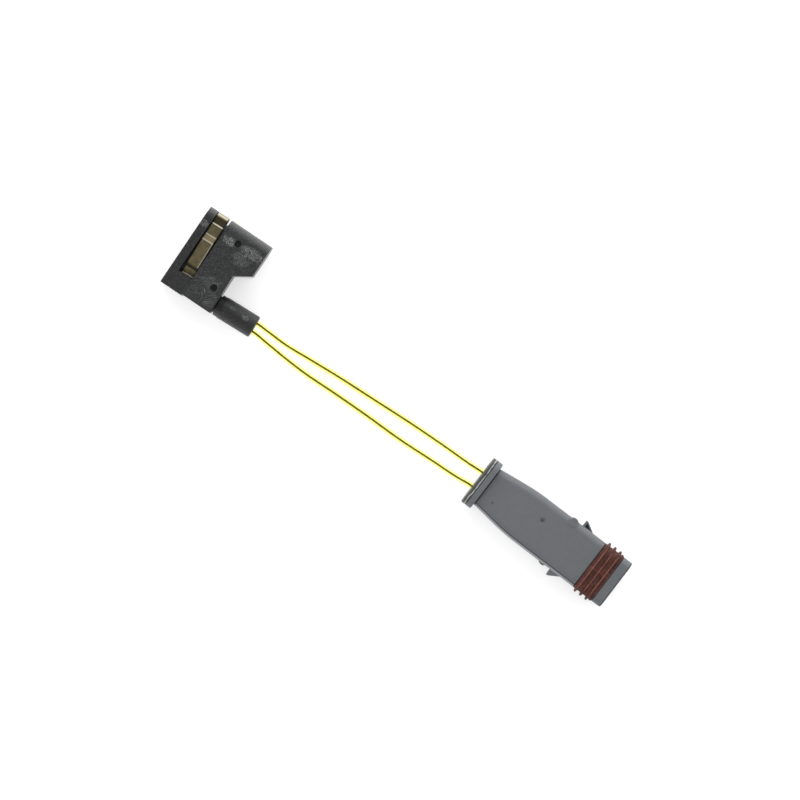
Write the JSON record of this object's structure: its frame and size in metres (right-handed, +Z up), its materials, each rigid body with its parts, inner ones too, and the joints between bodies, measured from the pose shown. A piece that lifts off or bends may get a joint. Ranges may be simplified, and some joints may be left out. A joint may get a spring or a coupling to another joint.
{
  "type": "brake pad wear sensor",
  "caption": "Wired brake pad wear sensor: a grooved contact head with a spring clip, a round tail, thin leads and a sealed flat plug with latch barbs.",
  "frame": {"origin": "on the underside of the contact head, halfway up its height and 9 mm in from the outer face of its strip", "axes": "+X from the head to the plug along the leads, +Y across them towards the rubbed end of the head, +Z up out of the surface that the sensor lies on"},
  "size_m": [0.1098, 0.0236, 0.008],
  "materials": {
    "black_nylon": "moulded, lightly scuffed",
    "bronze": "dull rolled strip, bright at its bends",
    "copper": "drawn",
    "yellow_jacket": "clear yellow, smooth",
    "dark_strands": "tarnished",
    "grey_cap": "moulded, scuffed",
    "grey_nylon": "moulded, even satin",
    "red_silicone": "moulded, satin",
    "orange_silicone": "moulded, satin",
    "tinned_brass": "stamped, tinned",
    "spring_steel": "rolled"
  },
  "bodies": {
    "root": {"head_body": "black_nylon", "tail_sleeve": "black_nylon", "spring_clip": "bronze", "sensing_loop": "copper", "splice_sleeve_1": "copper", "splice_sleeve_2": "copper", "lead_insulation_1": "yellow_jacket", "lead_insulation_2": "yellow_jacket", "lead_conductor_1": "dark_strands", "lead_conductor_2": "dark_strands", "rear_cap": "grey_cap", "connector_housing": "grey_nylon", "nose_cap": "grey_nylon", "front_seal": "red_silicone", "wire_seal_1": "orange_silicone", "wire_seal_2": "orange_silicone", "terminal_1": "tinned_brass", "terminal_2": "tinned_brass", "terminal_spring_1": "spring_steel", "terminal_spring_2": "spring_steel"}
  },
  "joints": []
}
